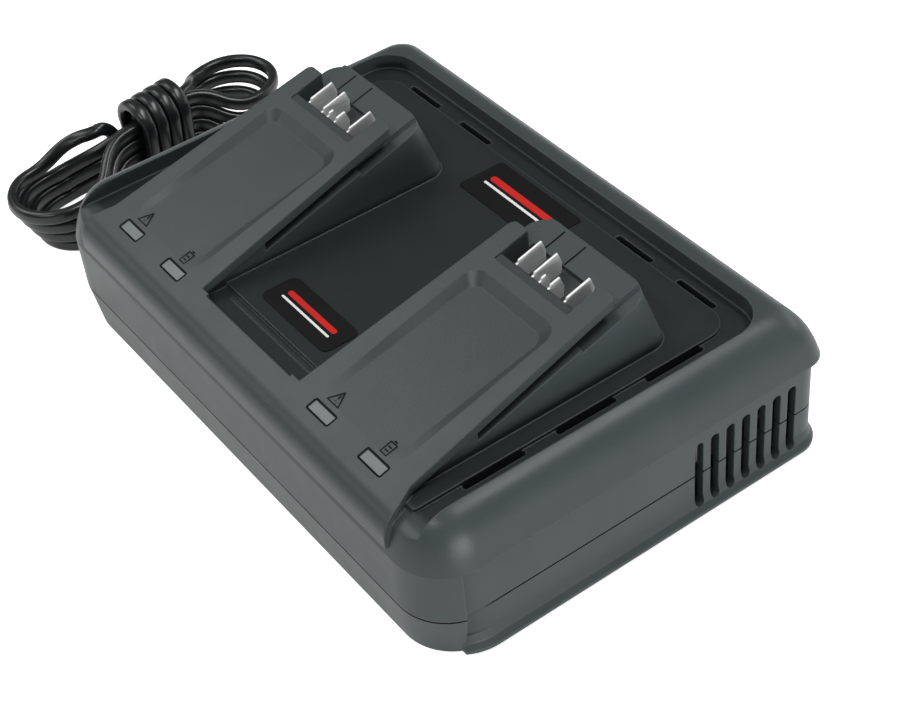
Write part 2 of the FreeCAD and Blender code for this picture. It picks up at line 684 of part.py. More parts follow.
def fan_rotor():
    hub = Part.makeCylinder(HUB_R, 7.0, Vector(FAN_X + 2.6, FAN_Y, FAN_Z), Vector(1, 0, 0))
    rim = [e for e in hub.Edges if e.Closed and e.Vertexes[0].X > FAN_X + 9]
    hub = hub.makeFillet(1.0, rim)
    shaft = Part.makeCylinder(SHAFT_R, 2.8, Vector(FAN_X + 0.1, FAN_Y, FAN_Z), Vector(1, 0, 0))
    blades = []
    for index in range(FAN_BLADES):
        piece = fan_blade()
        piece.rotate(Vector(FAN_X, FAN_Y, FAN_Z), Vector(1, 0, 0), 360.0 / FAN_BLADES * index)
        blades.append(piece)
    return fuse([hub, shaft] + blades)


# Mains lead: its hank stands along the left wall. Local directions are along the hank and across it.

def hank(u, v, z):
    return HANK_CENTRE + ALONG * u + ACROSS * v + Vector(0, 0, z)


def heading(u, v, z):
    return (ALONG * u + ACROSS * v + Vector(0, 0, z)).normalize()


def loop_nodes():
    """Places and headings round the loops: near run, front end, far run, back end, a layer up each time."""
    slope = LAYER / (2 * LOBE_AT)
    nodes = []
    for layer in range(LOOPS):
        z = FLOOR_Z + layer * LAYER
        top = z + LAYER
        front = LOBE_AT + layer * LOBE_STEP
        rear = front - LOBE_BACK
        near = [(rear, -LOBE_R, z, -1, 0, 0), (WAIST, -WAIST_GAP, z + WAIST_LIFT, -1, 0, 0),
                (-WAIST, -WAIST_GAP, z + WAIST_LIFT, -1, 0, 0), (-front, -LOBE_R, z, -1, 0, 0),
                (-front - LOBE_R, 0, z, 0, 1, 0), (-front, LOBE_R, z, 1, 0, 0)]
        nodes.extend(near)
        if layer < LOOPS - 1:
            climb = LAYER * (LOBE_AT - WAIST) / (2 * LOBE_AT)
            nodes.extend([(-WAIST, WAIST_GAP, z + WAIST_LIFT + climb, 1, 0, slope),
                          (WAIST, WAIST_GAP, top + WAIST_LIFT - climb, 1, 0, slope),
                          (rear + LOBE_STEP, LOBE_R, top, 1, 0, 0), (rear + LOBE_STEP + LOBE_R, 0, top, 0, -1, 0)])
    return nodes


def wrap_nodes():
    """Turns of the lead round the waist, and the bend that starts them."""
    z = FLOOR_Z + (LOOPS - 1) * LAYER
    top_centre = WRAP_TOP - WRAP_R
    low_centre = FLOOR_Z + WRAP_R
    side = top_centre - low_centre
    round_length = math.pi * WRAP_R / 2
    around = 4 * round_length + 2 * side
    rise = WRAP_PITCH / around
    corners = [(WRAP_R, low_centre, 0, -1), (0, FLOOR_Z, -1, 0), (-WRAP_R, low_centre, 0, 1),
               (-WRAP_R, top_centre, 0, 1), (0, WRAP_TOP, 1, 0), (WRAP_R, top_centre, 0, -1)]
    lengths = [side, round_length, round_length, side, round_length, round_length]
    nodes = [(-29.0, 13.6, z + 6.3, 1, -0.35, 0.25), (-20.5, WRAP_R + 0.6, z + 7.2, 1, -0.1, 0)]
    u = -WRAP_PITCH * 2 + 0.6
    nodes.append((u - 0.5, WRAP_R, low_centre + 4, rise, 0, -1))
    for turn in range(WRAPS + 1):
        for index, (v, height, v_way, z_way) in enumerate(corners):
            u += 4 * rise if turn == 0 and index == 0 else lengths[index] * rise
            if turn == WRAPS and index == 1:
                nodes.append((u + TAIL_SHIFT, v, height, TAIL_LEAN, v_way, z_way))
                return nodes
            nodes.append((u, v, height, rise, v_way, z_way))


def biarc(start, way, end, end_way):
    """Two arcs that leave start along way, meet smoothly and reach end along end_way."""
    gap = end - start
    both = way + end_way
    a = 2 * (way.dot(end_way) - 1)
    b = -2 * gap.dot(both)
    c = gap.dot(gap)
    if abs(a) < 1e-9:
        reach = c / (-b) if abs(b) > 1e-9 else gap.Length / 2
    else:
        reach = (-b - math.sqrt(b * b - 4 * a * c)) / (2 * a)
    joint = (start + way * reach + end - end_way * reach) * 0.5
    return [(start, joint), (joint, end)]


def arc_edge(start, way, end):
    """Arc from start along way to end, or a line where the two agree, with its heading at the end."""
    chord = end - start
    direction = Vector(chord).normalize()
    cosine = max(-1.0, min(1.0, way.dot(direction)))
    if cosine > 0.999999:
        return Part.LineSegment(start, end).toShape(), way
    across = (way - direction * cosine).normalize()
    turn = math.acos(cosine)
    height = chord.Length / 2 * math.tan(turn / 2)
    middle = (start + end) * 0.5 + across * height
    last = (direction * (2 * cosine) - way).normalize()
    return Part.Arc(start, middle, end).toShape(), last


def smooth_path(nodes):
    edges = []
    for (start, way), (end, end_way) in zip(nodes, nodes[1:]):
        heading_now = way
        for piece_start, piece_end in biarc(start, way, end, end_way):
            edge, heading_now = arc_edge(piece_start, heading_now, piece_end)
            edges.append(edge)
    return edges


def tube(edges, radius):
    first = edges[0]
    start = first.valueAt(first.FirstParameter)
    way = first.tangentAt(first.FirstParameter)
    profile = Part.Wire([Part.Circle(start, way, radius).toShape()])
    pipe = Part.BRepOffsetAPI.MakePipeShell(Part.Wire(edges))
    pipe.add(profile)
    pipe.build()
    pipe.makeSolid()
    return pipe.shape()


def rounded_route(points):
    """Straight runs joined by tangent arcs, each as large as its two runs allow."""
    edges = []
    at = points[0]
    radii = []
    for before, here, after in zip(points, points[1:], points[2:]):
        first = here - before
        second = after - here
        turn = first.getAngle(second)
        reach = 0.45 * min(first.Length, second.Length)
        radius = reach / math.tan(turn / 2)
        radii.append(round(radius, 1))
        one = Vector(first).normalize()
        two = Vector(second).normalize()
        start = here - one * reach
        end = here + two * reach
        middle = here + (two - one).normalize() * (radius / math.cos(turn / 2) - radius)
        edges.append(Part.LineSegment(at, start).toShape())
        edges.append(Part.Arc(start, middle, end).toShape())
        at = end
    edges.append(Part.LineSegment(at, points[-1]).toShape())
    print("bend radii", radii)
    return edges


def report_gap(edges):
    """Prints the least gap of the hank's tube to itself, on points along its path."""
    points = []
    walked = 0.0
    for edge in edges:
        count = max(2, int(edge.Length / 1.5))
        for index in range(count):
            share = index / count
            place = edge.valueAt(edge.FirstParameter + (edge.LastParameter - edge.FirstParameter) * share)
            points.append((walked + edge.Length * share, place))
        walked += edge.Length
    least = 1000.0
    where = None
    for index, (along, place) in enumerate(points):
        for other_along, other in points[index + 1:]:
            if other_along - along > 3 * CORD:
                distance = place.distanceToPoint(other)
                if distance < least:
                    least = distance
                    where = (place, other)
    print("hank length", round(walked, 1), "least gap", round(least - CORD, 2), where)


def hank_edges():
    nodes = [(hank(u, v, z), heading(du, dv, dz)) for u, v, z, du, dv, dz in loop_nodes() + wrap_nodes()]
    start, way = nodes[0]
    end, last = nodes[-1]
    edges = [Part.LineSegment(start - way * CORD, start).toShape()]
    edges.extend(smooth_path(nodes))
    edges.append(Part.LineSegment(end, end + last * TAIL_STUB).toShape())
    return edges


def strain_relief():
    """Tapered ribbed sleeve, gripped in the wall of the lower housing."""
    outward = Vector(-1, 0, 0)
    root = Vector(WALL_X, RELIEF_Y, RELIEF_Z)
    cone = Part.makeCone(RELIEF_ROOT, RELIEF_TIP, RELIEF_LENGTH, root, outward)
    grooves = []
    for index in range(RELIEF_GROOVES):
        place = root + outward * (RELIEF_FIRST_GROOVE + index * RELIEF_PITCH)
        ring = Part.makeCylinder(RELIEF_ROOT, RELIEF_GROOVE, place, outward)
        grooves.append(ring.cut(Part.makeCylinder(RELIEF_CORE, RELIEF_GROOVE, place, outward)))
    neck = Part.makeCylinder(RELIEF_R, WALL + 0.4, root, -outward)
    collar = Part.makeCylinder(RELIEF_ROOT, RELIEF_COLLAR, root - outward * (WALL + 0.4), -outward)
    return fuse([cone.cut(Part.makeCompound(grooves)), neck, collar])


def plug():
    """Flat two-pin plug on its edge: a body that widens to the pins, and the two pins."""
    sections = [(0, 3.6, 3.6), (9, 4.6, 5.0), (12, 12.0, 5.4), (34, 17.2, 6.4), (PLUG_BODY, 16.4, 5.6)]
    wires = []
    for along, half_height, half_width in sections:
        radius = min(half_height, half_width) * 0.6
        wire = rectangle(-half_width, half_width, -half_height, half_height, radius, radius, 0)
        wire.rotate(Vector(0, 0, 0), Vector(1, 0, 0), 90)
        wire.translate(Vector(PLUG_X, PLUG_Y - along, PLUG_Z))
        wires.append(wire)
    body = Part.makeLoft(wires, True, True)
    pins = []
    for side in (-1, 1):
        start = Vector(PLUG_X, PLUG_Y - PLUG_BODY, PLUG_Z + side * PIN_SPREAD)
        pin = Part.makeCylinder(PIN_R, PIN_LENGTH, start, Vector(0, -1, 0))
        tip = [e for e in pin.Edges if e.Closed and e.Vertexes[0].Y < start.y - PIN_LENGTH / 2]
        pins.append(pin.makeFillet(1.2, tip))
    pins = Part.makeCompound(pins)
    for shape in (body, pins):
        shape.rotate(Vector(PLUG_X, PLUG_Y, PLUG_Z), Vector(0, 0, 1), PLUG_TURN)
    return body, pins


def cords():
    """The put-up lead with its two free stretches, which butt against the hank, the sleeve and the plug."""
    edges = hank_edges()
    report_gap(edges)
    relief = strain_relief()
    body, pins = plug()
    start, inside = [vertex.Point for vertex in edges[0].Vertexes]
    inner, end = [vertex.Point for vertex in edges[-1].Vertexes]
    first = Part.makeCylinder(CORD / 2, CORD, start, inside - start)
    last = Part.makeCylinder(CORD / 2, TAIL_STUB, end, inner - end)
    tip = Vector(WALL_X - RELIEF_LENGTH, RELIEF_Y, RELIEF_Z)
    lead = [tip] + [Vector(*point) for point in LEAD_BENDS] + [start]
    tail = [end] + [Vector(*point) for point in TAIL_BENDS] + [Vector(PLUG_X, PLUG_Y, PLUG_Z)]
    return {"strain_relief": relief, "cord_hank": tube(edges, CORD / 2),
            "cord_lead": tube(rounded_route(lead), CORD / 2).cut(relief).cut(first),
            "cord_tail": tube(rounded_route(tail), CORD / 2).cut(body).cut(last),
            "plug_body": body, "plug_pins": pins}


def build():
    core, winding = transformer()
    nodes = {
        "upper_housing": upper_housing(),
        "lower_housing": lower_housing(),
        "rubber_feet": rubber_feet(),
        "case_screws": case_screws(),
        "label_plate_front": label(LABEL_FRONT),
        "label_plate_rear": label(LABEL_REAR),
        "circuit_board": circuit_board(),
        "transformer_core": core,
        "transformer_winding": winding,
        "heat_sink_left": heat_sink(8, -36),
        "heat_sink_right": heat_sink(58, -36),
        "bulk_capacitors": bulk_capacitors(),
        "mains_choke": mains_choke(),
        "fuse_holder": fuse_holder(),
        "mains_terminal": mains_terminal(),
        "fan_frame": fan_frame(),
        "fan_rotor": fan_rotor(),
    }
    for side, x in (("left", -BAY_X), ("right", BAY_X)):
        blades = contact_blades(x)
        carrier = contact_carrier(x)
        nodes["contact_carrier_" + side] = carrier.cut(Part.makeCompound(blades))
        nodes["contact_blades_" + side] = Part.makeCompound(blades)
        nodes["light_pipes_" + side] = light_pipes(x)
        nodes["led_board_" + side] = led_board(x)
    nodes.update(cords())
    return nodes


os.makedirs("parts", exist_ok=True)
for name, shape in build().items():
    print(name, "solids", len(shape.Solids), "valid", shape.isValid(), "volume", round(shape.Volume))
    shape.exportStep("parts/" + name + ".step")
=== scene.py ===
import json
import math
import bpy
from mathutils import Matrix, Vector


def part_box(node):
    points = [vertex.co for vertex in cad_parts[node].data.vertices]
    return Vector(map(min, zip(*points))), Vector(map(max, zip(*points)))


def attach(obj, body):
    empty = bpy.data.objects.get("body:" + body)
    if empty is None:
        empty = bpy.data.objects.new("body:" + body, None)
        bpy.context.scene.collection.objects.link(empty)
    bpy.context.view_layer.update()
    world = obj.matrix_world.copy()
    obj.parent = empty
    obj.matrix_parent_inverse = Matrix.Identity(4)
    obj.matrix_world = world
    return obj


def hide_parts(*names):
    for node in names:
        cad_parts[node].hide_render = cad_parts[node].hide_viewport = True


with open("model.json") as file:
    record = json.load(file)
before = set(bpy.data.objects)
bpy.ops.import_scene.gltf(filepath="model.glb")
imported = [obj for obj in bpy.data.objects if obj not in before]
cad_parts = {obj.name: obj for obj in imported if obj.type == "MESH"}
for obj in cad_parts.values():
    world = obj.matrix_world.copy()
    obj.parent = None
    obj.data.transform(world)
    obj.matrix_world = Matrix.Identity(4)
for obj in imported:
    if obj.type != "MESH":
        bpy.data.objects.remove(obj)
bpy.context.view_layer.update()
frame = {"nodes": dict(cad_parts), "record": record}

NODES = frame["nodes"]
MM = 0.001

# Camera: the photograph's view, its place in metres of the part's frame
EYE = Vector((434.76, -263.23, 461.32)) * MM
RIGHT = Vector((0.58832, 0.80469, -0.07974))
UP = Vector((-0.50613, 0.44334, 0.73979))
LENS = 77.37
SENSOR_WIDTH = 36.0
CLIP_START = 0.01

# Floor, backdrop and lamps: places and sizes in metres, power in watts
FLOOR_HALF = 6.0
FLOOR_GREY = 0.82
FLOOR_ROUGHNESS = 0.9
FLOOR_GLOW = 0.16
FLOOR_GLOW_SEEN = 0.68
GLOSS_SHARE = 0.28
WORLD_FILL = 0.18
WORLD_SEEN = 1.0
LAMPS = (  # name, place, aim, size, power
    ("right_key", (1.6, -0.15, 0.17), (0.05, 0, 0.04), (0.8, 0.3), 13),
    ("left_box", (-0.8, -0.3, 1.15), (0, 0, 0.03), (0.7, 0.7), 6),
    ("top_strip", (0.2, 0.55, 1.35), (0, 0, 0.03), (0.9, 0.25), 10),
    ("corner_strip", (0.3, -0.8, 1.2), (0.05, 0, 0.03), (0.5, 0.12), 5),
    ("edge_strip", (-1.0, -1.05, 0.6), (0, -0.05, 0.05), (0.9, 0.1), 2),
    ("back_box", (0.1, 1.4, 0.5), (0, 0, 0.05), (1.3, 0.3), 5),
)

# Every material: the values of its noise that get its two tones
TONE_STOPS = (0.3, 0.7)

# Plastics: scales of the noises, and the depth of the grain in metres
CLOUD_SCALE = 45
SHEEN_SCALE = 120
SHEEN_SPREAD = 0.05
GRAIN_SCALE = 1000
GRAIN_ROUGHNESS = 0.6
GRAIN_DEPTH = 0.0004

# Housing edges: how soft they look, and how wide their painted highlight is in metres, the cosines
# of their turn where the painted highlight is full and where it ends, and how much paler it is
EDGE_SOFT = 0.0007
EDGE_SAMPLES = 4
BLADE_SOFT = EDGE_SOFT / 5
EDGE_HIGHLIGHT_WIDTH = 0.0009
EDGE_HIGHLIGHT_TURN = (0.86, 0.985)
EDGE_HIGHLIGHT_LIFT = 1.7

# Housing darkened by place, in metres: painted shade in the gap between the halves, and the sunk
# floor of the top, darkened by painted shade from the bays and bezel around it with a somewhat
# darker tone of its own
SEAM_Z = 0.01805
SEAM_REACH = (0.00028, 0.00036)
SEAM_PAINTED_SHADE = (0.08, 0.08, 0.08, 1)
WELL_TONE_AND_SHADE_SHARE = 0.38
WELL_DARK_Z = 0.0512
WELL_LIGHT_Z = 0.0535
WELL_SIDE = (0.1030, 0.1040)
WELL_REAR = (0.0625, 0.0637)
WELL_FRONT = (0.0665, 0.0700)

# Lead jacket. Its dimples, the scratches of metals and the grain of light pipes are each a strength
# and a depth in metres
JACKET_COLOUR = (19, 21, 22)
JACKET_LIFT = 1.5
JACKET_TONE_SCALE = 90
JACKET_DRAG_SCALE = 260
JACKET_ROUGHNESS = (0.24, 0.36)
JACKET_DIMPLE_SCALE = 420
JACKET_DIMPLE = (0.05, 0.0004)

# Metals: scratches that run along y, and what they add to the roughness at least and at most
SCRATCH_STRETCH = (400, 40, 900)
SCRATCH_SCALE = 2.0
SCRATCH_DETAIL = 3.0
SCRATCH = (0.08, 0.0002)
SCRATCH_SHADE = 0.88
SCRATCH_ROUGHNESS = (-0.06, 0.1)

# Light pipes
PANE_COLOUR = (104, 111, 112)
PANE_SHADE = 0.9
PANE_TONE_SCALE = 160
PANE_FROST_SCALE = 500
PANE_ROUGHNESS = (0.35, 0.5)
PANE_GRAIN_SCALE = 1400
PANE_GRAIN = (0.05, 0.0003)

PLASTICS = (  # slot, sRGB colour, settings
    ("housing_plastic", (58, 65, 65),
     dict(roughness=0.36, grain=0.13, grain_size=0.6, edge=EDGE_SOFT, gloss=0.27, well_tone_and_shade=WELL_TONE_AND_SHADE_SHARE)),
    ("bay_plastic", (44, 50, 50), dict(roughness=0.5, grain=0.08, edge=EDGE_SOFT, gloss=0.32)),
    ("board_green", (24, 88, 48), dict(roughness=0.3, grain=0.04, grain_size=1.0, mottle=0.12)),
    ("label_film", (15, 15, 16),
     dict(roughness=0.38, grain=0.03, grain_size=0.4, mottle=0.04, gloss=0.22)),
    ("fan_plastic", (20, 20, 21), dict(roughness=0.4)),
    ("foot_rubber", (26, 26, 26), dict(roughness=0.8, grain=0.15, grain_size=0.8)),
    ("core_ferrite", (62, 62, 66), dict(roughness=0.5, grain=0.2, grain_size=1.5, mottle=0.15)),
    ("winding_tape", (214, 176, 60), dict(roughness=0.35, grain_size=2.0)),
    ("capacitor_sleeve", (28, 36, 66), dict(roughness=0.25, grain=0.02)),
    ("terminal_plastic", (38, 120, 60), dict(roughness=0.4)),
    ("window_edge", (10, 12, 12), dict(roughness=0.6, grain=0.04, gloss=0.1)),
    ("sign_ink", (14, 16, 16), dict(roughness=0.6, grain=0.02, gloss=0.1)),
    ("print_red", (190, 34, 30), dict(roughness=0.4, grain=0.02, gloss=0.25)),
    ("print_white", (222, 222, 220), dict(roughness=0.4, grain=0.02, mottle=0.02, gloss=0.25)),
)
METALS = (  # slot, scene colour, settings
    ("contact_metal", (0.86, 0.87, 0.86), dict(roughness=0.42, metallic=0.6, edge=BLADE_SOFT)),
    ("heat_sink", (0.6, 0.61, 0.62), dict(roughness=0.35)),
    ("pin_metal", (0.82, 0.8, 0.75), dict(roughness=0.18)),
    ("screw_steel", (0.45, 0.45, 0.46), dict(roughness=0.3)),
    ("choke_wire", (0.55, 0.25, 0.1), dict(roughness=0.3)),
    ("fuse_metal", (0.7, 0.7, 0.7), dict(roughness=0.25)),
)

# Battery bays, as in the part: millimetres, y in the bays counted back from the front face
FRONT_Y = -79.5
BAY_X = 60.0
BAY_SLOPE = 0.27785
BAY_FRONT_Z = 51.16
WINDOW_Y = 11.2
WINDOW_OFFSETS = (-14.1, 14.3)
WINDOW_HALF = 5.5
WINDOW_DEPTH = 1.8
RAMP_DROP = 7.0
# Across the bay: where dark strokes paint the shade of the ramp's two parting grooves
RAMP_GROOVE_SHADES = (-13.5, -3.0)
RAMP_FRONT = 98.6
RAMP_BACK = 107.5

# Thin marks on the bays and labels, in millimetres
STROKE_LIFT = 0.05
STROKE_MITRE = 0.4
RIM_MARGIN = 0.25
RIM_CORNER = 0.6
RIM_CORNER_STEPS = 3
RIM_WIDTH = 0.65
# Width of the painted shade of a ramp groove
RAMP_GROOVE_SHADE_WIDTH = 0.7
SIGNS = (  # name, points from the bay's centre, width, closed
    ("sign_triangle", ((-17.0, 15.5), (-11.2, 15.5), (-14.1, 20.3)), 0.42, True),
    ("sign_triangle_stem", ((-14.1, 17.4), (-14.1, 18.9)), 0.4, False),
    ("sign_triangle_dot", ((-14.1, 16.4), (-14.1, 16.8)), 0.4, False),
    ("sign_cell", ((12.4, 15.0), (15.4, 15.0), (15.4, 19.3), (12.4, 19.3)), 0.38, True),
    ("sign_cell_top", ((13.3, 20.0), (14.5, 20.0)), 0.5, False),
    ("sign_bar_low", ((13.1, 16.3), (14.7, 16.3)), 0.45, False),
    ("sign_bar_high", ((13.1, 17.7), (14.7, 17.7)), 0.45, False),
)
MARK_LIFT = 0.04
STRIPE_GAP = 1.3
STRIPE_END_STEPS = 5
LABEL_STRIPES = (  # label, margin at its sides, width of the wide stripe, of the narrow one
    ("label_plate_rear", 5.0, 2.8, 1.1),
    ("label_plate_front", 5.5, 2.2, 0.9),
)

# Mains lead, in millimetres: its section
CORD = 5.4
CORD_THICK = 4.3
CORD_SIDES = 16
FACE_FLATNESS = 0.7
RIM_FLATNESS = 0.8
DIP_DEPTH = 0.07
DIP_WIDTH = 0.7

# The hank: u runs along it, v across it, z up. The entry has places and headings of the bend that
# leads into the wraps, its z above the top loop
HANK_CENTRE = Vector((-166, -14, 0))
HANK_LEAN = math.radians(10)
ALONG = Vector((-math.sin(HANK_LEAN), math.cos(HANK_LEAN), 0))
ACROSS = Vector((-math.cos(HANK_LEAN), -math.sin(HANK_LEAN), 0))
FLOOR_Z = 2.8
LAYER = 6.1
LOOPS = 4
LOBE_R = 16.5
LOBE_AT = 41.0
LOBE_STEP = 3.0
LOBE_BACK = 8.0
WAIST = 13.0
WAIST_GAP = 3.05
WAIST_LIFT = 8.0
WRAPS = 4
WRAP_R = 9.3
WRAP_TOP = 36.9
WRAP_PITCH = 5.9
WRAP_SHIFT = 0.6
WRAP_ENTRY = ((-29.0, 13.6, 6.3, 1, -0.35, 0.25), (-20.5, WRAP_R + 0.6, 7.2, 1, -0.1, 0))
WRAP_DROP = 4
WRAP_DROP_BACK = 0.5
TAIL_LEAN = 0.3
TAIL_SHIFT = 1.4
TAIL_STUB = 2.0

# The lead's free stretches: from the wall to the hank, and from the hank to the plug
WALL_X = -114.4
RELIEF_Y = 54.0
RELIEF_Z = 9.4
RELIEF_LENGTH = 20.0
LEAD_BENDS = ((-144.7, 54.0, 8.4), (-154.0, 48.0, 6.0), (-158.3, 37.7, 3.6))
TAIL_BENDS = ((-156.2, 4.9, 4.8), (-145.8, 3.4, 10.2), (-138.0, -3.6, 15.8))
PLUG = Vector((-135.1, -13.7, 17.8))

# The lead as one piece: steps of its spline, and the control points over which its section turns
# before the wraps, turns back, and ends turning back after them
ROUTE_STEPS = 6
TURN_IN = 6
TURN_OUT = 3
TURN_LATE = 2


# Shader nodes

def feed(tree, socket, value):
    """Links an output to the socket, or gives the socket a plain value."""
    if isinstance(value, bpy.types.NodeSocket):
        tree.links.new(value, socket)
    else:
        socket.default_value = value


def math_node(tree, operation, *values, clamp=False):
    """Output of a math node over outputs and plain values."""
    node = tree.nodes.new("ShaderNodeMath")
    node.operation = operation
    node.use_clamp = clamp
    for socket, value in zip(node.inputs, values):
        feed(tree, socket, value)
    return node.outputs[0]


class Nodes:
    """A material's node tree with a Principled shader, and short calls to add to it."""

    def __init__(self, name):
        self.material = bpy.data.materials.new(name)
        self.material.use_nodes = True
        self.tree = self.material.node_tree
        self.shader = self.tree.nodes["Principled BSDF"]
        self.place = self.tree.nodes.new("ShaderNodeTexCoord").outputs["Object"]

    def add(self, kind, **inputs):
        """Node of a kind. Its inputs are given by name, with _ for a space."""
        node = self.tree.nodes.new("ShaderNode" + kind)
        for name, value in inputs.items():
            feed(self.tree, node.inputs[name.replace("_", " ")], value)
        return node

    def set(self, **inputs):
        """Gives inputs to the Principled shader, named as in add."""
        for name, value in inputs.items():
            feed(self.tree, self.shader.inputs[name.replace("_", " ")], value)

    def noise(self, scale, detail=2.0, roughness=0.5):
        """Cloudy value from 0 to 1, of a scale per metre."""
        where = self.place
        node = self.add("TexNoise", Vector=where, Scale=scale, Detail=detail, Roughness=roughness)
        return node.outputs["Fac"]

    def ramp(self, fac, low, high):
        """Colour from low to high, over the middle values of fac."""
        node = self.add("ValToRGB", Fac=fac)
        for stop, place, colour in zip(node.color_ramp.elements, TONE_STOPS, (low, high)):
            stop.position = place
            stop.color = (*colour, 1)
        return node.outputs["Color"]

    def span(self, fac, low, high):
        """Value from low to high, as fac goes from 0 to 1."""
        return self.add("MapRange", Value=fac, To_Min=low, To_Max=high).outputs["Result"]

    def fade(self, value, start, end):
        """1 up to start, then smoothly down to 0 at end."""
        node = self.add("MapRange", Value=value, From_Min=start, From_Max=end, To_Min=1.0,
                        To_Max=0.0)
        node.interpolation_type = "SMOOTHSTEP"
        return node.outputs["Result"]

    def axes(self):
        return self.add("SeparateXYZ", Vector=self.place).outputs

    def absolute(self, value):
        return math_node(self.tree, "ABSOLUTE", value)

    def less(self, one, two):
        return math_node(self.tree, "SUBTRACT", one, two)

    def both(self, one, two):
        return math_node(self.tree, "MULTIPLY", one, two, clamp=True)

    def bump(self, height, strength, distance, edge=0.0):
        """Fine relief, over edges that catch the light as if they had the radius edge."""
        node = self.add("Bump", Strength=strength, Distance=distance, Height=height)
        if edge:
            soft = self.add("Bevel", Radius=edge)
            soft.samples = EDGE_SAMPLES
            feed(self.tree, node.inputs["Normal"], soft.outputs["Normal"])
        self.set(Normal=node.outputs["Normal"])

    def tint(self, where, colour, other, blend="MULTIPLY"):
        """The colour, blended with the other one as far as where says."""
        mix = self.tree.nodes.new("ShaderNodeMix")
        mix.data_type = "RGBA"
        mix.blend_type = blend
        # By index, because a mix node has sockets of the same name for each data type
        for index, value in ((0, where), (6, colour), (7, other)):
            feed(self.tree, mix.inputs[index], value)
        return mix.outputs[2]

    def darken_well_tone_and_shade(self, colour, share):
        """The colour, times share on the sunk floor of the top: painted shade from the bays and
        bezel around it, with a somewhat darker tone of its own.
        """
        x, y, z = self.axes()
        inside = self.fade(z, WELL_DARK_Z, WELL_LIGHT_Z)
        inside = self.both(inside, self.fade(self.absolute(x), *WELL_SIDE))
        inside = self.both(inside, self.fade(y, *WELL_REAR))
        inside = self.both(inside, self.fade(self.less(0.0, y), *WELL_FRONT))
        return self.tint(inside, colour, (share, share, share, 1))

    def paint_seam_shade(self, colour):
        """The colour, nearly black in the gap between the two housing halves: painted shade in the
        seam.
        """
        away = self.absolute(self.less(self.axes()["Z"], SEAM_Z))
        return self.tint(self.fade(away, *SEAM_REACH), colour, SEAM_PAINTED_SHADE)

    def paint_edge_highlights(self, colour, highlight_colour):
        """The colour, paler where an edge turns: a painted highlight along the edges."""
        dot = self.tree.nodes.new("ShaderNodeVectorMath")
        dot.operation = "DOT_PRODUCT"
        feed(self.tree, dot.inputs[0], self.add("Bevel", Radius=EDGE_HIGHLIGHT_WIDTH).outputs["Normal"])
        feed(self.tree, dot.inputs[1], self.add("NewGeometry").outputs["Normal"])
        return self.tint(self.fade(dot.outputs["Value"], *EDGE_HIGHLIGHT_TURN), colour, (*highlight_colour, 1), "MIX")


# Materials

def linear(red, green, blue):
    """Scene colour of an sRGB colour written in 0 to 255."""
    def one(value):
        share = value / 255
        return share / 12.92 if share <= 0.04045 else ((share + 0.055) / 1.055) ** 2.4
    return (one(red), one(green), one(blue))


def scaled(colour, factor):
    return tuple(channel * factor for channel in colour)


def moulded_plastic(name, colour, roughness, grain=0.05, grain_size=0.5, mottle=0.06, edge=0.0,
                    gloss=0.5, well_tone_and_shade=1.0):
    """Moulded plastic with an eroded grain and a faint cloudiness. With a well share under 1 it is
    the housing's: its colour times that share in the sunk top, as painted shade with a somewhat
    darker tone of its own, with painted highlights along its edges and painted shade in the seam."""
    nodes = Nodes(name)
    cloud = nodes.noise(CLOUD_SCALE, 3)
    tone = nodes.ramp(cloud, scaled(colour, 1 - mottle), scaled(colour, 1 + mottle))
    if well_tone_and_shade < 1:
        # Painted shade: the sunk top of the housing darker, with a somewhat darker tone of its own
        tone = nodes.darken_well_tone_and_shade(tone, well_tone_and_shade)
        # Painted highlight: paler where the housing's edges turn
        tone = nodes.paint_edge_highlights(tone, scaled(colour, EDGE_HIGHLIGHT_LIFT))
        # Painted shade: nearly black in the seam between the halves
        tone = nodes.paint_seam_shade(tone)
    low, high = roughness - SHEEN_SPREAD, roughness + SHEEN_SPREAD
    sheen = nodes.span(nodes.noise(SHEEN_SCALE, 3), low, high)
    nodes.set(Base_Color=tone, Roughness=sheen, Specular_IOR_Level=gloss)
    relief = nodes.noise(GRAIN_SCALE / grain_size, roughness=GRAIN_ROUGHNESS)
    nodes.bump(relief, grain, GRAIN_DEPTH, edge)
    return nodes.material


def glossy_jacket(name, colour):
    """Soft vinyl of the lead: glossy, with faint drag marks and dimples."""
    nodes = Nodes(name)
    tone = nodes.ramp(nodes.noise(JACKET_TONE_SCALE), colour, scaled(colour, JACKET_LIFT))
    drag = nodes.span(nodes.noise(JACKET_DRAG_SCALE, 3), *JACKET_ROUGHNESS)
    nodes.set(Base_Color=tone, Roughness=drag)
    nodes.bump(nodes.noise(JACKET_DIMPLE_SCALE, 3), *JACKET_DIMPLE)
    return nodes.material


def bright_metal(name, colour, roughness, metallic=1.0, edge=0.0):
    """Tinned or plated metal with fine scratches."""
    nodes = Nodes(name)
    stretch = nodes.add("Mapping", Vector=nodes.place, Scale=SCRATCH_STRETCH).outputs["Vector"]
    noise = nodes.add("TexNoise", Vector=stretch, Scale=SCRATCH_SCALE, Detail=SCRATCH_DETAIL)
    lines = noise.outputs["Fac"]
    finer, duller = SCRATCH_ROUGHNESS
    nodes.set(Base_Color=nodes.ramp(lines, scaled(colour, SCRATCH_SHADE), colour),
              Roughness=nodes.span(lines, roughness + finer, roughness + duller), Metallic=metallic)
    nodes.bump(lines, *SCRATCH, edge)
    return nodes.material


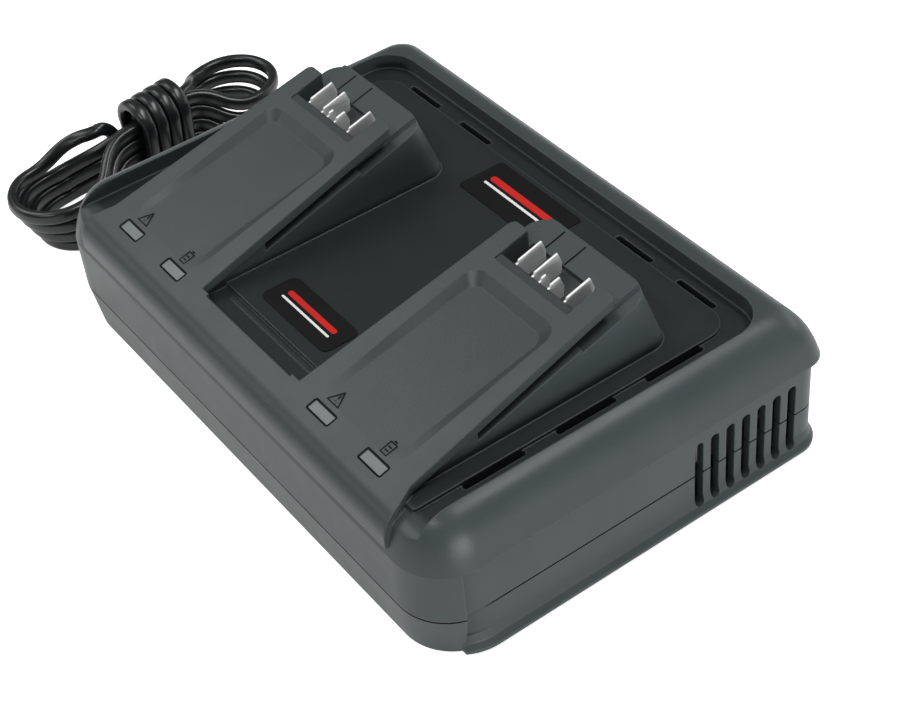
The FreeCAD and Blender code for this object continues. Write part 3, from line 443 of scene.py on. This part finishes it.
def frosted_pane(name, colour):
    """Light pipe: frosted, a little brighter where the light gathers."""
    nodes = Nodes(name)
    tone = nodes.ramp(nodes.noise(PANE_TONE_SCALE), scaled(colour, PANE_SHADE), colour)
    frost = nodes.span(nodes.noise(PANE_FROST_SCALE), *PANE_ROUGHNESS)
    nodes.set(Base_Color=tone, Roughness=frost)
    nodes.bump(nodes.noise(PANE_GRAIN_SCALE), *PANE_GRAIN)
    return nodes.material


def make_materials():
    """Material of every slot, by name."""
    made = {name: moulded_plastic(name, linear(*colour), **rest) for name, colour, rest in PLASTICS}
    made.update({name: bright_metal(name, colour, **rest) for name, colour, rest in METALS})
    made["cord_jacket"] = glossy_jacket("cord_jacket", linear(*JACKET_COLOUR))
    made["light_pipe"] = frosted_pane("light_pipe", linear(*PANE_COLOUR))
    return made


def dress_cad_nodes(materials):
    """Gives each CAD node the material of its slot."""
    slots = {part["node"]: part["material_slot"] for part in frame["record"]["subparts"]}
    for name, node in NODES.items():
        node.data.materials.clear()
        node.data.materials.append(materials[slots[name]])


# Camera, floor and light

def in_scene(name, data):
    """A new object of the data, in the scene."""
    obj = bpy.data.objects.new(name, data)
    bpy.context.collection.objects.link(obj)
    return obj


def make_camera():
    data = bpy.data.cameras.new("photo_camera")
    data.lens = LENS
    data.sensor_width = SENSOR_WIDTH
    data.sensor_fit = "HORIZONTAL"
    data.clip_start = CLIP_START
    data.dof.use_dof = False
    camera = in_scene("photo_camera", data)
    turn = Matrix((RIGHT, UP, RIGHT.cross(UP))).transposed().to_4x4()
    camera.matrix_world = Matrix.Translation(EYE) @ turn
    bpy.context.scene.camera = camera


def shown_to_eye(tree):
    """1 for rays from the camera and through glass, and a softer share for what gloss shows."""
    path = tree.nodes.new("ShaderNodeLightPath")
    shown = path.outputs["Is Camera Ray"]
    for name, share in (("Is Glossy Ray", GLOSS_SHARE), ("Is Transmission Ray", 1.0)):
        part = math_node(tree, "MULTIPLY", path.outputs[name], share)
        shown = math_node(tree, "MAXIMUM", shown, part)
    return shown


def make_floor():
    """Pale floor. It glows to the camera, and much less to the part."""
    half = FLOOR_HALF
    mesh = bpy.data.meshes.new("studio_floor")
    corners = [(-half, -half, 0), (half, -half, 0), (half, half, 0), (-half, half, 0)]
    mesh.from_pydata(corners, [], [(0, 1, 2, 3)])
    floor = in_scene("studio_floor", mesh)
    material = bpy.data.materials.new("studio_floor")
    material.use_nodes = True
    tree = material.node_tree
    shader = tree.nodes["Principled BSDF"]
    shader.inputs["Base Color"].default_value = (FLOOR_GREY, FLOOR_GREY, FLOOR_GREY, 1)
    shader.inputs["Roughness"].default_value = FLOOR_ROUGHNESS
    glow = tree.nodes.new("ShaderNodeEmission")
    glow.inputs["Color"].default_value = (1, 1, 1, 1)
    strength = math_node(tree, "MULTIPLY_ADD", shown_to_eye(tree), FLOOR_GLOW_SEEN, FLOOR_GLOW)
    tree.links.new(strength, glow.inputs["Strength"])
    both = tree.nodes.new("ShaderNodeAddShader")
    tree.links.new(shader.outputs[0], both.inputs[0])
    tree.links.new(glow.outputs[0], both.inputs[1])
    tree.links.new(both.outputs[0], tree.nodes["Material Output"].inputs["Surface"])
    mesh.materials.append(material)


def make_world():
    """White to the camera, and a weak even fill to the part."""
    world = bpy.data.worlds.new("studio")
    world.use_nodes = True
    tree = world.node_tree
    fill = tree.nodes["Background"]
    white = tree.nodes.new("ShaderNodeBackground")
    for node, strength in ((fill, WORLD_FILL), (white, WORLD_SEEN)):
        node.inputs["Color"].default_value = (1, 1, 1, 1)
        node.inputs["Strength"].default_value = strength
    mix = tree.nodes.new("ShaderNodeMixShader")
    path = tree.nodes.new("ShaderNodeLightPath")
    tree.links.new(path.outputs["Is Camera Ray"], mix.inputs["Fac"])
    tree.links.new(fill.outputs[0], mix.inputs[1])
    tree.links.new(white.outputs[0], mix.inputs[2])
    tree.links.new(mix.outputs[0], tree.nodes["World Output"].inputs["Surface"])
    bpy.context.scene.world = world


def soft_box(name, place, aim, size, power):
    """Flat lamp that looks from its place to its aim."""
    data = bpy.data.lights.new(name, "AREA")
    data.shape = "RECTANGLE"
    data.size, data.size_y = size
    data.energy = power
    lamp = in_scene(name, data)
    lamp.location = place
    lamp.rotation_euler = (Vector(aim) - Vector(place)).to_track_quat("-Z", "Y").to_euler()


# Pieces of the looks

def mesh_piece(name, verts, faces, material, smooth=True):
    """Mesh that rides with the housing, with the given material."""
    mesh = bpy.data.meshes.new(name)
    mesh.from_pydata([tuple(v) for v in verts], [], faces)
    mesh.validate()
    obj = in_scene(name, mesh)
    mesh.materials.append(material)
    if smooth:
        mesh.shade_smooth()
    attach(obj, "housing")
    return obj


# Mains lead

def hank(u, v, z):
    """Place in the hank's own axes."""
    return HANK_CENTRE + ALONG * u + ACROSS * v + Vector((0, 0, z))


def heading(u, v, z):
    """Unit direction in the hank's own axes."""
    return (ALONG * u + ACROSS * v + Vector((0, 0, z))).normalized()


def loop_nodes():
    """Places and headings round the loops: near run, front end, far run, back end, a layer up."""
    slope = LAYER / (2 * LOBE_AT)
    climb = LAYER * (LOBE_AT - WAIST) / (2 * LOBE_AT)
    nodes = []
    for layer in range(LOOPS):
        z = FLOOR_Z + layer * LAYER
        top = z + LAYER
        front = LOBE_AT + layer * LOBE_STEP
        rear = front - LOBE_BACK
        nodes += [(rear, -LOBE_R, z, -1, 0, 0),
                  (WAIST, -WAIST_GAP, z + WAIST_LIFT, -1, 0, 0),
                  (-WAIST, -WAIST_GAP, z + WAIST_LIFT, -1, 0, 0),
                  (-front, -LOBE_R, z, -1, 0, 0),
                  (-front - LOBE_R, 0, z, 0, 1, 0),
                  (-front, LOBE_R, z, 1, 0, 0)]
        if layer < LOOPS - 1:
            nodes += [(-WAIST, WAIST_GAP, z + WAIST_LIFT + climb, 1, 0, slope),
                      (WAIST, WAIST_GAP, top + WAIST_LIFT - climb, 1, 0, slope),
                      (rear + LOBE_STEP, LOBE_R, top, 1, 0, 0),
                      (rear + LOBE_STEP + LOBE_R, 0, top, 0, -1, 0)]
    return nodes


def wrap_nodes():
    """Places and headings of the turns round the waist, and of the bend that starts them."""
    z = FLOOR_Z + (LOOPS - 1) * LAYER
    top_centre = WRAP_TOP - WRAP_R
    low_centre = FLOOR_Z + WRAP_R
    side = top_centre - low_centre
    quarter = math.pi * WRAP_R / 2
    rise = WRAP_PITCH / (4 * quarter + 2 * side)
    corners = [(WRAP_R, low_centre, 0, -1), (0, FLOOR_Z, -1, 0), (-WRAP_R, low_centre, 0, 1),
               (-WRAP_R, top_centre, 0, 1), (0, WRAP_TOP, 1, 0), (WRAP_R, top_centre, 0, -1)]
    lengths = [side, quarter, quarter, side, quarter, quarter]
    nodes = [(u, v, z + lift, *way) for u, v, lift, *way in WRAP_ENTRY]
    u = -WRAP_PITCH * 2 + WRAP_SHIFT
    nodes.append((u - WRAP_DROP_BACK, WRAP_R, low_centre + WRAP_DROP, rise, 0, -1))
    for turn in range(WRAPS + 1):
        for index, (v, height, v_way, z_way) in enumerate(corners):
            u += WRAP_DROP * rise if turn == 0 and index == 0 else lengths[index] * rise
            if turn == WRAPS and index == 1:
                nodes.append((u + TAIL_SHIFT, v, height, TAIL_LEAN, v_way, z_way))
                return nodes
            nodes.append((u, v, height, rise, v_way, z_way))


def tangent_points(start, way, end, end_way):
    """Control points of the bend that leaves start along way and reaches end along end_way."""
    gap = end - start
    a = 2 * (way.dot(end_way) - 1)
    b = -2 * gap.dot(way + end_way)
    c = gap.dot(gap)
    if abs(a) < 1e-9:
        reach = c / -b if abs(b) > 1e-9 else gap.length / 2
    else:
        reach = (-b - math.sqrt(b * b - 4 * a * c)) / (2 * a)
    return [start + way * reach, end - end_way * reach]


def cord_route():
    """The lead's control points in millimetres, wall to plug, and where its wraps start and end."""
    nodes = [(hank(u, v, z), heading(*way)) for u, v, z, *way in loop_nodes() + wrap_nodes()]
    first, into = nodes[0]
    last, out = nodes[-1]
    tip = WALL_X - RELIEF_LENGTH
    lead = [Vector((WALL_X, RELIEF_Y, RELIEF_Z)), Vector((tip, RELIEF_Y, RELIEF_Z)),
            *map(Vector, LEAD_BENDS), first - into * CORD]
    turns = []
    for (here, way), (there, there_way) in zip(nodes, nodes[1:]):
        turns += tangent_points(here, way, there, there_way)
    tail = [last + out * TAIL_STUB, *map(Vector, TAIL_BENDS), PLUG]
    wrap_from = len(lead) + 2 * (len(loop_nodes()) + 1)
    return lead + turns + tail, wrap_from, len(lead) + len(turns)


def spline_points(route):
    """Even points along the route's smooth spline, in metres."""
    data = bpy.data.curves.new("cord_guide", "CURVE")
    data.dimensions = "3D"
    spline = data.splines.new("NURBS")
    spline.points.add(len(route) - 1)
    for point, place in zip(spline.points, route):
        point.co = (*(place * MM), 1)
    spline.order_u = 3
    spline.use_endpoint_u = True
    spline.resolution_u = ROUTE_STEPS
    guide = in_scene("cord_guide", data)
    bpy.context.view_layer.update()
    mesh = bpy.data.meshes.new_from_object(guide)
    points = [v.co.copy() for v in mesh.vertices]
    bpy.data.objects.remove(guide)
    bpy.data.meshes.remove(mesh)
    bpy.data.curves.remove(data)
    return points


def oval_section():
    """Outline of the flat two-core lead: nearly straight faces, a faint dip between the cores."""
    def flattened(part, power):
        return math.copysign(abs(part) ** power, part)

    ring = []
    for index in range(CORD_SIDES):
        angle = 2 * math.pi * index / CORD_SIDES
        wide = flattened(math.cos(angle), RIM_FLATNESS) * CORD / 2
        thick = flattened(math.sin(angle), FACE_FLATNESS) * CORD_THICK / 2
        dip = 1 - DIP_DEPTH * math.exp(-(wide / DIP_WIDTH) ** 2)
        ring.append((wide * MM, thick * dip * MM))
    return ring


def clamp(value):
    return max(0.0, min(1.0, value))


def swept(path, per_point, wrap_from, wrap_to):
    """Vertices and faces of the lead's section along the path, which has per_point places for each
    control point. The wide side is upright in the loops and lies along the hank in the wraps."""
    ring = oval_section()
    sides = len(ring)
    upright = Vector((0, 0, 1))
    verts = []
    faces = []
    for index, place in enumerate(path):
        way = (path[min(index + 1, len(path) - 1)] - path[max(index - 1, 0)]).normalized()
        at = index / per_point
        share = clamp((at - wrap_from + TURN_IN) / TURN_IN)
        share *= clamp((wrap_to + TURN_LATE - at) / TURN_OUT)
        wide = upright.lerp(ALONG, share)
        wide = (wide - way * wide.dot(way)).normalized()
        thick = way.cross(wide)
        verts += [place + wide * a + thick * b for a, b in ring]
        if index:
            base = (index - 1) * sides
            for k in range(sides):
                nxt = (k + 1) % sides
                faces.append((base + k, base + nxt, base + sides + nxt, base + sides + k))
    faces.append(tuple(range(sides))[::-1])
    faces.append(tuple(range(len(verts) - sides, len(verts))))
    return verts, faces


def make_cord(materials):
    """The lead as one piece, in place of the three cord nodes."""
    route, wrap_from, wrap_to = cord_route()
    path = spline_points(route)
    verts, faces = swept(path, len(path) / len(route), wrap_from, wrap_to)
    cord = mesh_piece("mains_lead", verts, faces, materials["cord_jacket"])
    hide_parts("cord_hank", "cord_lead", "cord_tail")
    length = sum((b - a).length for a, b in zip(path, path[1:]))
    print("lead length", round(length, 3))


# Signs and labels on the housing

def bay_point(x, y, drop):
    """Place in metres, just over a bay's plane or over a surface that runs drop under it."""
    front_to_back = FRONT_Y + y
    height = BAY_FRONT_Z + BAY_SLOPE * (front_to_back - FRONT_Y) - drop
    return Vector((x, front_to_back, height + STROKE_LIFT)) * MM


def stroke(name, bay, points, width, material, closed=False, drop=0.0):
    """Flat ribbon through points of a bay, counted from the bay's centre and the front face."""
    count = len(points)
    spots = [Vector(point) for point in points]
    verts = []
    for index, here in enumerate(spots):
        if closed:
            before = spots[index - 1]
            after = spots[(index + 1) % count]
        else:
            before = spots[max(index - 1, 0)]
            after = spots[min(index + 1, count - 1)]
        came, goes = here - before, after - here
        one = came.normalized() if came.length else goes.normalized()
        two = goes.normalized() if goes.length else one
        side = Vector((-(one + two).y, (one + two).x)).normalized()
        stretch = 1 / max(STROKE_MITRE, side.dot(Vector((-one.y, one.x))))
        for sign in (-1, 1):
            place = here + side * (sign * width / 2 * stretch)
            verts.append(bay_point(bay + place.x, place.y, drop))
    faces = []
    for index in range(count if closed else count - 1):
        nxt = (index + 1) % count
        faces.append((2 * index, 2 * index + 1, 2 * nxt + 1, 2 * nxt))
    return mesh_piece(name, verts, faces, material, smooth=False)


def rounded_outline(x0, x1, y0, y1, radius, steps):
    """Corner points of a rectangle with round corners, anticlockwise."""
    points = []
    for cx, cy, start in ((x1 - radius, y1 - radius, 0), (x0 + radius, y1 - radius, 90),
                          (x0 + radius, y0 + radius, 180), (x1 - radius, y0 + radius, 270)):
        for step in range(steps + 1):
            angle = math.radians(start + 90 * step / steps)
            points.append((cx + radius * math.cos(angle), cy + radius * math.sin(angle)))
    return points


def make_signs(materials):
    """Pictograms behind the windows of each bay, the windows' rims, and the ramp's two parting
    lines as grooves whose shade is painted as dark strokes.
    """
    dark = materials["window_edge"]
    for side, bay in (("left", -BAY_X), ("right", BAY_X)):
        for name, points, width, closed in SIGNS:
            stroke(name + "_" + side, bay, points, width, materials["sign_ink"], closed)
        for index, offset in enumerate(WINDOW_OFFSETS):
            x0, x1 = offset - WINDOW_HALF - RIM_MARGIN, offset + WINDOW_HALF + RIM_MARGIN
            y0, y1 = WINDOW_Y - WINDOW_DEPTH - RIM_MARGIN, WINDOW_Y + WINDOW_DEPTH + RIM_MARGIN
            rim = rounded_outline(x0, x1, y0, y1, RIM_CORNER, RIM_CORNER_STEPS)
            stroke("window_rim_%s_%d" % (side, index), bay, rim, RIM_WIDTH, dark, True)
        # Painted shade: a dark stroke along each groove of the ramp
        for index, offset in enumerate(RAMP_GROOVE_SHADES):
            line = [(offset, RAMP_FRONT), (offset, RAMP_BACK)]
            name = "ramp_groove_shade_%s_%d" % (side, index)
            stroke(name, bay, line, RAMP_GROOVE_SHADE_WIDTH, dark, drop=RAMP_DROP)


def plate_mark(name, x0, x1, y0, y1, top, material):
    """Flat printed stripe with round ends on a label, in millimetres."""
    outline = rounded_outline(x0, x1, y0, y1, (y1 - y0) / 2, STRIPE_END_STEPS)
    verts = [Vector((x, y, top)) * MM for x, y in outline]
    return mesh_piece(name, verts, [tuple(range(len(verts)))], material, smooth=False)


def make_label_marks(materials):
    """One wide and one narrow plain stripe along each label."""
    for node, margin, wide, narrow in LABEL_STRIPES:
        low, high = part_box(node)
        left, right = low[0] / MM + margin, high[0] / MM - margin
        middle, top = (low[1] + high[1]) / 2 / MM, high[2] / MM + MARK_LIFT
        plate_mark(node + "_wide_stripe", left, right, middle, middle + wide, top,
                   materials["print_red"])
        plate_mark(node + "_narrow_stripe", left, right, middle - narrow - STRIPE_GAP,
                   middle - STRIPE_GAP, top, materials["print_white"])


def main():
    make_camera()
    materials = make_materials()
    make_cord(materials)
    dress_cad_nodes(materials)
    make_signs(materials)
    make_label_marks(materials)
    make_floor()
    make_world()
    for lamp in LAMPS:
        soft_box(*lamp)
    bpy.context.scene.view_settings.view_transform = "Standard"


main()
